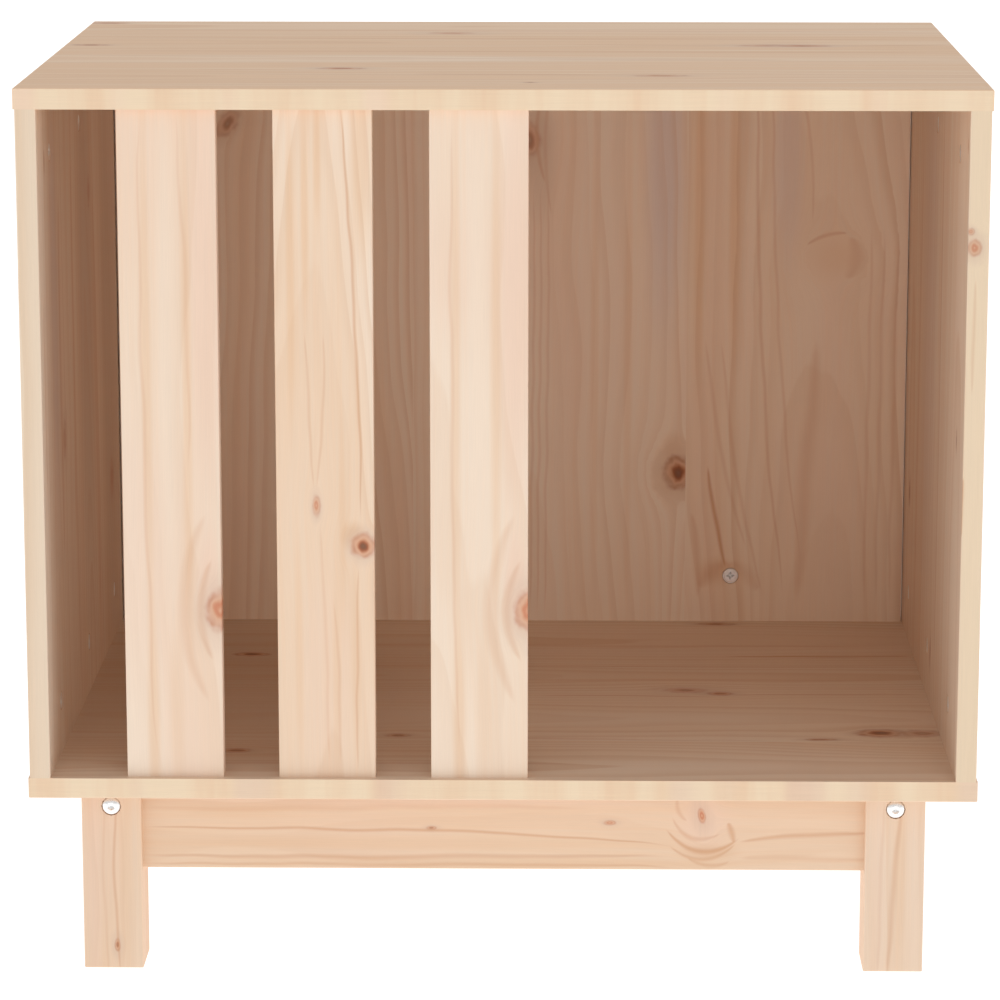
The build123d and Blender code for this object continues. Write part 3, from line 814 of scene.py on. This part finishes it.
def metal_material(name, colour, roughness, grain):
    """Bright metal with fine tool marks and small dull patches."""
    material, tree, shader = bare_material(name)
    place = object_place(tree)
    patches = even_noise(tree, place, 1.6, detail=3.0)
    marks = noise(tree, place["X"] / grain, place["Y"] / grain, place["Z"] / (6 * grain), detail=2.0)
    shade = (patches - 0.5) * 0.20 + (marks - 0.5) * 0.10 + 1.0
    feed(tree, shader.inputs["Base Color"], dim(tree, rgba(colour), shade))
    feed(tree, shader.inputs["Roughness"], (patches - 0.5) * 0.25 + (marks - 0.5) * 0.12 + roughness)
    shader.inputs["Metallic"].default_value = 1.0
    raise_grain(tree, shader, marks, 0.03 * MM, strength=0.25)
    return material


def dowel_material(look):
    """Beech with short dark flecks."""
    material, tree, shader = bare_material("beech_dowel")
    place = object_place(tree)
    flecks = even_noise(tree, place, 0.5, detail=2.0)
    cloud = even_noise(tree, place, 6.0, detail=1.0)
    colour = paint(tree, flecks.rise(0.55, 0.72) * 0.5, rgba(look.beech), rgba(look.beech, 0.5))
    feed(tree, shader.inputs["Base Color"], dim(tree, colour, (cloud - 0.5) * 0.3 + 1.0))
    feed(tree, shader.inputs["Roughness"], flecks * 0.2 + 0.55)
    raise_grain(tree, shader, flecks, 0.1 * MM)
    return material


def shared_groups():
    """The groups that every pine board uses, built once."""
    if "Year rings" not in bpy.data.node_groups:
        year_ring_group()
        knot_group()
        streak_group()
        cloud_group()
    groups = bpy.data.node_groups
    return {"rings": groups["Year rings"], "knot": groups["Knot"],
            "streak": groups["Resin streak"], "cloud": groups["Soft cloud"]}


def finish_boards(boards, look):
    """Gives each board of the frame its own pine, on the object's material slots."""
    groups = shared_groups()
    for board in boards:
        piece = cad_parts[board.node]
        material = pine_material(board, groups, look)
        for slot in piece.material_slots:
            slot.link = "OBJECT"
            slot.material = material


# Fastenings: one piece is lofted, and a node tree sets it in every place of the frame


def outline(height, reach, count=24):
    """A closed row of points at one height, each as far from the axis as reach says for its turn."""
    points = []
    for step in range(count):
        turn = 2 * math.pi * step / count
        out = reach(turn)
        points.append((out * math.cos(turn), out * math.sin(turn), height))
    return points


def circle(radius, height):
    return outline(height, lambda turn: radius)


def hexagon(flats, height):
    """A hexagon as wide across its flats."""
    def reach(turn):
        off = (turn + math.pi / 6) % (math.pi / 3) - math.pi / 6
        return flats / 2 / math.cos(off)
    return outline(height, reach)


def cross(length, width, height):
    """A cross recess: arms on the axes, and rounded corners."""
    return outline(height, lambda turn: width / 2 + (length - width) / 2 * abs(math.cos(2 * turn)) ** 3)


def slot_outline(length, width, height):
    """A straight screwdriver slot."""
    def reach(turn):
        aside, along = abs(math.cos(turn)), abs(math.sin(turn))
        return min(length / 2 / max(aside, 1e-6), width / 2 / max(along, 1e-6))
    return outline(height, reach)


def fluted(radius, depth, height, flutes=24):
    """A dowel's outline with pressed flutes."""
    return outline(height, lambda turn: radius - depth * (math.cos(flutes * turn) < 0), 2 * flutes)


def add_object(name, data):
    """A new object in the scene."""
    piece = bpy.data.objects.new(name, data)
    bpy.context.scene.collection.objects.link(piece)
    return piece


def lofted(name, rings):
    """A closed piece through rings of as many points each, closed at both ends."""
    mesh = bpy.data.meshes.new(name)
    build = bmesh.new()
    rows = [[build.verts.new(point) for point in ring] for ring in rings]
    count = len(rings[0])
    for lower, upper in zip(rows, rows[1:]):
        for step in range(count):
            after = (step + 1) % count
            build.faces.new((lower[step], lower[after], upper[after], upper[step]))
    build.faces.new(list(reversed(rows[0])))
    build.faces.new(rows[-1])
    bmesh.ops.recalc_face_normals(build, faces=build.faces)
    build.to_mesh(mesh)
    build.free()
    return add_object(name, mesh)


def solids_of(node):
    """The corners of each separate solid of a CAD node, as boxes."""
    build = bmesh.new()
    build.from_mesh(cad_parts[node].data)
    bmesh.ops.remove_doubles(build, verts=build.verts, dist=1e-6)
    waiting = set(build.verts)
    boxes = []
    while waiting:
        island = [waiting.pop()]
        for vert in island:
            for edge in vert.link_edges:
                other = edge.other_vert(vert)
                if other in waiting:
                    waiting.remove(other)
                    island.append(other)
        points = [vert.co for vert in island]
        low = Vector([min(point[axis] for point in points) for axis in range(3)])
        high = Vector([max(point[axis] for point in points) for axis in range(3)])
        boxes.append((low, high))
    build.free()
    return sorted(boxes, key=lambda box: tuple(round(value, 4) for value in box[0]))


class NodePlan:
    """A Geometry Nodes tree in the making: each call adds a node and gives it its inputs."""

    def __init__(self, name, sizes):
        self.tree = bpy.data.node_groups.new(name, "GeometryNodeTree")
        self.identifiers = {}
        face = self.tree.interface
        face.new_socket("Geometry", in_out="OUTPUT", socket_type="NodeSocketGeometry")
        face.new_socket("Places", in_out="INPUT", socket_type="NodeSocketGeometry")
        for label, kind, default in sizes:
            socket = face.new_socket(label, in_out="INPUT", socket_type="NodeSocket" + kind)
            if default is not None:
                socket.default_value = default
            self.identifiers[label] = socket.identifier
        self.source = self.tree.nodes.new("NodeGroupInput")
        self.sink = self.tree.nodes.new("NodeGroupOutput")

    def entry(self, label):
        return self.source.outputs[label]

    def add(self, kind, inputs=(), **settings):
        node = self.tree.nodes.new(kind)
        for name, value in settings.items():
            setattr(node, name, value)
        for label, value in dict(inputs).items():
            feed(self.tree, node.inputs[label], value)
        return node

    def math(self, operation, first, second):
        node = self.tree.nodes.new("ShaderNodeMath")
        node.operation = operation
        feed(self.tree, node.inputs[0], first)
        feed(self.tree, node.inputs[1], second)
        return node.outputs[0]


def fastening_tree():
    """Sets one piece, with a thread wound on it, at every place, turned to face that place's aim."""
    plan = NodePlan("Set fastenings", (
        ("Piece", "Object", None),
        ("Thread radius", "Float", 0.003),
        ("Thread pitch", "Float", 0.001),
        ("Thread start", "Float", 0.0),
        ("Thread length", "Float", 0.0),
        ("Thread depth", "Float", 0.0004),
        ("Material", "Material", None)))
    piece = plan.add("GeometryNodeObjectInfo", {"Object": plan.entry("Piece")}, transform_space="ORIGINAL")
    turns = plan.math("DIVIDE", plan.entry("Thread length"), plan.entry("Thread pitch"))
    path = plan.add("GeometryNodeCurveSpiral", {
        "Resolution": 12, "Rotations": turns, "Start Radius": plan.entry("Thread radius"),
        "End Radius": plan.entry("Thread radius"), "Height": plan.entry("Thread length")})
    ridge = plan.add("GeometryNodeCurvePrimitiveCircle", {
        "Resolution": 3, "Radius": plan.entry("Thread depth")}, mode="RADIUS")
    thread = plan.add("GeometryNodeCurveToMesh", {
        "Curve": path.outputs["Curve"], "Profile Curve": ridge.outputs["Curve"], "Fill Caps": True})
    lift = plan.add("ShaderNodeCombineXYZ", {"Z": plan.entry("Thread start")})
    placed = plan.add("GeometryNodeTransform", {
        "Geometry": thread.outputs["Mesh"], "Translation": lift.outputs["Vector"]})
    threaded = plan.add("FunctionNodeCompare", {
        "A": plan.entry("Thread length"), "B": 0.0}, data_type="FLOAT", operation="GREATER_THAN")
    choice = plan.add("GeometryNodeSwitch", {
        "Switch": threaded.outputs["Result"], "True": placed.outputs["Geometry"]}, input_type="GEOMETRY")
    whole = plan.add("GeometryNodeJoinGeometry")
    plan.tree.links.new(piece.outputs["Geometry"], whole.inputs["Geometry"])
    plan.tree.links.new(choice.outputs["Output"], whole.inputs["Geometry"])
    aim = plan.add("GeometryNodeInputNamedAttribute", {"Name": "aim"}, data_type="FLOAT_VECTOR")
    turned = plan.add("FunctionNodeAlignRotationToVector", {"Vector": aim.outputs["Attribute"]}, axis="Z")
    copies = plan.add("GeometryNodeInstanceOnPoints", {
        "Points": plan.entry("Places"), "Instance": whole.outputs["Geometry"],
        "Rotation": turned.outputs["Rotation"]})
    real = plan.add("GeometryNodeRealizeInstances", {"Geometry": copies.outputs["Instances"]})
    finished = plan.add("GeometryNodeSetMaterial", {
        "Geometry": real.outputs["Geometry"], "Material": plan.entry("Material")})
    plan.tree.links.new(finished.outputs["Geometry"], plan.sink.inputs["Geometry"])
    return plan


def set_fastenings(name, piece, places, material, thread=None):
    """Puts the piece in its places as one plain mesh that stands for the CAD node of the same name."""
    plan = fastening_tree()
    mesh = bpy.data.meshes.new(name + "_places")
    mesh.from_pydata([place for place, _ in places], [], [])
    aims = mesh.attributes.new("aim", "FLOAT_VECTOR", "POINT")
    for row, (_, aim) in zip(aims.data, places):
        row.vector = aim
    holder = add_object(name + "_places", mesh)
    modifier = holder.modifiers.new("fastenings", "NODES")
    modifier.node_group = plan.tree
    modifier[plan.identifiers["Piece"]] = piece
    modifier[plan.identifiers["Material"]] = material
    for label, value in (thread or {}).items():
        modifier[plan.identifiers[label]] = value
    graph = bpy.context.evaluated_depsgraph_get()
    result = bpy.data.meshes.new_from_object(holder.evaluated_get(graph), depsgraph=graph)
    if not result.polygons:
        raise RuntimeError(f"{name}: the node tree made no faces")
    result.name = name
    result.shade_smooth()
    result.set_sharp_from_angle(angle=math.radians(32))
    finished = add_object("set_" + name, result)
    for spare in (holder, piece):
        bpy.data.objects.remove(spare)
    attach(finished, "root")
    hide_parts(name)


def long_axis(low, high):
    sizes = high - low
    return max(range(3), key=lambda axis: sizes[axis])


def unit(axis, sign):
    aim = [0.0, 0.0, 0.0]
    aim[axis] = sign
    return tuple(aim)


def face_place(low, high, axis, sign):
    """The middle of a solid's face on the side that it looks to."""
    place = (low + high) / 2
    place[axis] = high[axis] if sign > 0 else low[axis]
    return tuple(place)


def set_out(node, aim_of, start=1.0):
    """A place and an aim for each solid of a CAD node, and the size of one; a start of -1 is its far face."""
    places = []
    for low, high in solids_of(node):
        axis, sign = aim_of(low, high)
        places.append((face_place(low, high, axis, start * sign), unit(axis, sign)))
    return places, high - low


def inward(low, high, axis):
    """The axis, and the way along it that leads to the middle of the house."""
    return axis, -1.0 if (low + high)[axis] > 0 else 1.0


def winding(look, radius, pitch, start, length):
    """What the node tree needs to wind a thread on a core."""
    return {"Thread radius": radius, "Thread pitch": pitch, "Thread depth": look.thread_depth,
            "Thread start": start, "Thread length": length}


class BoardStep:
    """What the three steps for the boards share."""

    boards = ()

    def execute(self, context):
        finish_boards(self.boards, context.scene.doghouse_pine)
        return {"FINISHED"}


class PineBoards(BoardStep, bpy.types.Operator):
    """Finish the top, floor, sides and back in glued pine"""

    bl_idname = "doghouse.pine_boards"
    bl_label = "Pine panels"
    boards = PANELS


class FrontSlats(BoardStep, bpy.types.Operator):
    """Finish the three upright slats of the front"""

    bl_idname = "doghouse.front_slats"
    bl_label = "Front slats"
    boards = SLATS


class LegFrame(BoardStep, bpy.types.Operator):
    """Finish the legs and the rails between them"""

    bl_idname = "doghouse.leg_frame"
    bl_label = "Leg frame"
    boards = LEG_FRAME


class CamLocks(bpy.types.Operator):
    """Set the cam nuts and the cam bolts that draw the boards together"""

    bl_idname = "doghouse.cam_locks"
    bl_label = "Cam locks"

    def execute(self, context):
        look = context.scene.doghouse_metal
        zinc = metal_material("cast_zinc", look.zinc, 0.34, 0.5)
        steel = metal_material("plated_bolt", look.steel, 0.30, 0.4)
        for node, axis in (("side_cam_nuts", 0), ("back_cam_nuts", 1)):
            places, size = set_out(node, lambda low, high: inward(low, high, axis))
            set_fastenings(node, cam_nut(look, size[axis]), places, zinc)
        half_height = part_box("top_panel")[0].z / 2
        for node in ("side_cam_bolts", "back_cam_bolts"):
            places, size = set_out(
                node, lambda low, high: (2, 1.0 if (low + high).z / 2 > half_height else -1.0), start=-1.0)
            set_fastenings(node, cam_bolt(size.z), places, steel, winding(
                look, 2.5 * MM, 1.4 * MM, size.z - 9.5 * MM, 8.0 * MM))
        return {"FINISHED"}


def cam_nut(look, depth):
    """A round nut with a bevelled rim, a dished face and a cross recess."""
    radius = look.cam_radius
    face = -look.cam_recess
    dish = face - 0.35 * MM
    bevel = 0.6 * MM
    return lofted("cam_nut", [
        circle(radius - bevel, -depth),
        circle(radius, -depth + bevel),
        circle(radius, face - 0.5 * MM),
        circle(radius - 0.45 * MM, face),
        circle(radius - 1.1 * MM, face),
        circle(radius - 1.5 * MM, dish),
        circle(3.3 * MM, dish),
        cross(6.2 * MM, 2.4 * MM, dish),
        cross(5.4 * MM, 2.0 * MM, face - 1.2 * MM),
        cross(2.0 * MM, 0.9 * MM, face - 2.8 * MM)])


def cam_bolt(length):
    """A bolt with a ball end for the cam, a neck and a core that screws into the board."""
    ball = 3.1 * MM
    neck = 1.7 * MM
    core = 2.3 * MM
    return lofted("cam_bolt", [
        circle(1.6 * MM, 0.0),
        circle(ball, 0.9 * MM),
        circle(ball, 2.2 * MM),
        circle(neck, 3.2 * MM),
        circle(neck, 6.0 * MM),
        circle(core, 7.0 * MM),
        circle(core, length - 1.5 * MM),
        circle(1.2 * MM, length)])


class LegBolts(bpy.types.Operator):
    """Set the dome-headed leg bolts and their barrel nuts"""

    bl_idname = "doghouse.leg_bolts"
    bl_label = "Leg bolts and barrel nuts"

    def execute(self, context):
        look = context.scene.doghouse_metal
        bright = metal_material("bright_bolt", look.steel, 0.28, 0.5)
        places, size = set_out("leg_bolts", outward)
        length = max(size)
        set_fastenings("leg_bolts", leg_bolt(length), places, bright, winding(
            look, 2.7 * MM, 1.0 * MM, -length + 0.8 * MM, 32.0 * MM))
        places, size = set_out("barrel_nuts", lambda low, high: inward(low, high, long_axis(low, high)))
        set_fastenings("barrel_nuts", barrel_nut(max(size)), places, bright)
        return {"FINISHED"}


def outward(low, high):
    """The long axis of a bolt, and the way along it that leads out of the house."""
    axis = long_axis(low, high)
    return axis, 1.0 if (low + high)[axis] > 0 else -1.0


def leg_bolt(length):
    """A domed head with a hexagon socket on a round shank."""
    head = 3.2 * MM
    radius = 6.0 * MM
    rim = 1.0 * MM
    core = 2.7 * MM
    socket = 4.0 * MM
    mouth = 2.6 * MM
    dome = []
    for step in range(7):
        turn = math.radians(80) * step / 6
        dome.append(circle(radius * math.cos(turn), -head + rim + (head - rim) * math.sin(turn)))
    dome = [ring for ring in dome if ring[0][0] > core]
    top = -head + rim + (head - rim) * math.sin(math.acos(mouth / radius))
    return lofted("leg_bolt", [
        circle(2.0 * MM, -length),
        circle(core, -length + 0.8 * MM),
        circle(core, -head - 0.1 * MM),
        circle(3.0 * MM, -head),
        circle(radius - 0.3 * MM, -head),
        circle(radius, -head + 0.3 * MM),
        *dome,
        circle(mouth, top),
        hexagon(socket, top - 0.25 * MM),
        hexagon(socket, top - 1.9 * MM),
        circle(0.6 * MM, top - 2.5 * MM)])


def barrel_nut(length):
    """A cross dowel of steel with a screwdriver slot in its open end."""
    radius = 5.0 * MM
    return lofted("barrel_nut", [
        circle(radius - 0.5 * MM, -length),
        circle(radius, -length + 0.5 * MM),
        circle(radius, -0.5 * MM),
        circle(radius - 0.5 * MM, 0.0),
        slot_outline(8.2 * MM, 1.4 * MM, 0.0),
        slot_outline(8.0 * MM, 1.3 * MM, -1.2 * MM)])


class Dowels(bpy.types.Operator):
    """Set the fluted dowels of the boards, the slats and the leg frame"""

    bl_idname = "doghouse.dowels"
    bl_label = "Dowels"

    def execute(self, context):
        beech = dowel_material(context.scene.doghouse_metal)
        for node in ("side_dowels", "slat_dowels", "leg_dowels"):
            places, size = set_out(node, lambda low, high: (long_axis(low, high), 1.0))
            set_fastenings(node, dowel(min(size) / 2, max(size)), places, beech)
        return {"FINISHED"}


def dowel(radius, length):
    """A dowel with pressed flutes and tapered ends."""
    flute = 0.25 * MM
    taper = 1.0 * MM
    return lofted("dowel", [
        fluted(radius - taper, 0.0, -length),
        fluted(radius, flute, -length + taper),
        fluted(radius, flute, -taper),
        fluted(radius - taper, 0.0, 0.0)])


class BaseScrews(bpy.types.Operator):
    """Set the screws that hold the leg frame to the floor board"""

    bl_idname = "doghouse.base_screws"
    bl_label = "Base screws"

    def execute(self, context):
        look = context.scene.doghouse_metal
        steel = metal_material("screw_steel", look.steel, 0.32, 0.4)
        places, size = set_out("base_screws", lambda low, high: (2, -1.0))
        set_fastenings("base_screws", base_screw(size.x / 2, size.z), places, steel, winding(
            look, 1.45 * MM, 1.8 * MM, -size.z + 4.0 * MM, size.z - 10.0 * MM))
        return {"FINISHED"}


def base_screw(radius, length):
    """A countersunk wood screw with a cross recess and a drawn point."""
    return lofted("base_screw", [
        circle(0.15 * MM, -length),
        circle(1.4 * MM, -length + 4.5 * MM),
        circle(1.5 * MM, -3.4 * MM),
        circle(1.9 * MM, -2.4 * MM),
        circle(radius, -0.3 * MM),
        circle(radius - 0.1 * MM, 0.0),
        circle(2.6 * MM, 0.0),
        cross(4.4 * MM, 1.5 * MM, -0.1 * MM),
        cross(3.6 * MM, 1.2 * MM, -1.0 * MM),
        cross(1.4 * MM, 0.6 * MM, -2.1 * MM)])


# The studio


class Studio(bpy.types.Operator):
    """Lay the pale floor, light the room softly and stand the camera in front"""

    bl_idname = "doghouse.studio"
    bl_label = "Studio"

    def execute(self, context):
        studio = context.scene.doghouse_studio
        lay_floor(studio)
        light_room(studio)
        hang_softbox(studio)
        stand_camera(studio)
        context.scene.view_settings.view_transform = "Standard"
        return {"FINISHED"}


WHITE = (1.0, 1.0, 1.0, 1.0)


def lay_floor(studio):
    """A wide plane that the feet stand on, with a faint cloud in its colour."""
    reach = 30.0
    mesh = bpy.data.meshes.new("studio_floor")
    mesh.from_pydata([(-reach, -reach, 0), (reach, -reach, 0), (reach, reach, 0), (-reach, reach, 0)],
                     [], [(0, 1, 2, 3)])
    floor = add_object("studio_floor", mesh)
    material, tree, shader = bare_material("studio_paper")
    place = object_place(tree)
    cloud = noise(tree, place["X"] / 400.0, place["Y"] / 400.0, 0.0, detail=2.0)
    feed(tree, shader.inputs["Base Color"], dim(tree, rgba(studio.floor_tone), (cloud - 0.5) * 0.04 + 1.0))
    for label, value in (("Roughness", 0.9), ("Specular IOR Level", 0.1), ("Emission Color", WHITE),
                         ("Emission Strength", studio.floor_glow)):
        shader.inputs[label].default_value = value
    mesh.materials.append(material)


def light_room(studio):
    """A room whose light changes softly from in front of the house to behind it."""
    world = bpy.data.worlds.new("pale_room")
    bpy.context.scene.world = world
    world.use_nodes = True
    tree = world.node_tree
    background = next(node for node in tree.nodes if node.type == "BACKGROUND")
    source = tree.nodes.new("ShaderNodeTexCoord")
    front = (by_axis(tree, source.outputs["Generated"])["Y"] * -1.0).rise(-0.7, 0.7)
    strength = front * (studio.front_light - studio.back_light) + studio.back_light
    feed(tree, background.inputs["Strength"], strength)
    background.inputs["Color"].default_value = WHITE


def hang_softbox(studio):
    """A large soft light in front of the house and a little to its right."""
    lamp = bpy.data.lights.new("softbox", "AREA")
    lamp.shape = "RECTANGLE"
    lamp.size = 2.4
    lamp.size_y = 1.8
    lamp.energy = studio.softbox
    light = add_object("softbox", lamp)
    light.location = (1.2, -3.6, 2.2)
    target = Vector((0.0, 0.0, 0.3))
    light.rotation_euler = (target - light.location).to_track_quat("-Z", "Y").to_euler()
    light.visible_camera = False


def stand_camera(studio):
    """The camera, level in its roll and without shift."""
    data = bpy.data.cameras.new("camera")
    camera = add_object("camera", data)
    ahead = Vector((
        -math.sin(studio.yaw) * math.cos(studio.pitch),
        math.cos(studio.yaw) * math.cos(studio.pitch),
        -math.sin(studio.pitch)))
    camera.location = studio.eye
    camera.rotation_euler = ahead.to_track_quat("-Z", "Y").to_euler()
    data.sensor_fit = "HORIZONTAL"
    data.sensor_width = 36.0
    data.lens = studio.lens
    data.dof.use_dof = False
    bpy.context.scene.camera = camera


OPERATORS = (PineBoards, FrontSlats, LegFrame, CamLocks, LegBolts, Dowels, BaseScrews, Studio)


class DogHousePanel(bpy.types.Panel):
    """The steps that dress the dog house, in order"""

    bl_idname = "VIEW3D_PT_doghouse"
    bl_label = "Dog house"
    bl_space_type = "VIEW_3D"
    bl_region_type = "UI"
    bl_category = "Dog house"

    def draw(self, context):
        for operator in OPERATORS:
            self.layout.operator(operator.bl_idname)
        for name in ("doghouse_pine", "doghouse_metal", "doghouse_studio"):
            group = getattr(context.scene, name)
            box = self.layout.box()
            for label in group.bl_rna.properties.keys():
                if label not in ("rna_type", "name"):
                    box.prop(group, label)


CLASSES = (PineLook, MetalLook, StudioLook, *OPERATORS, DogHousePanel)


def register():
    for one in CLASSES:
        bpy.utils.register_class(one)
    bpy.types.Scene.doghouse_pine = bpy.props.PointerProperty(type=PineLook)
    bpy.types.Scene.doghouse_metal = bpy.props.PointerProperty(type=MetalLook)
    bpy.types.Scene.doghouse_studio = bpy.props.PointerProperty(type=StudioLook)


def unregister():
    for name in ("doghouse_pine", "doghouse_metal", "doghouse_studio"):
        delattr(bpy.types.Scene, name)
    for one in reversed(CLASSES):
        bpy.utils.unregister_class(one)


def main():
    """Dresses the house piece by piece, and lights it."""
    register()
    bpy.ops.doghouse.pine_boards()
    bpy.ops.doghouse.front_slats()
    bpy.ops.doghouse.leg_frame()
    bpy.ops.doghouse.cam_locks()
    bpy.ops.doghouse.leg_bolts()
    bpy.ops.doghouse.dowels()
    bpy.ops.doghouse.base_screws()
    bpy.ops.doghouse.studio()


if __name__ == "__main__":
    main()
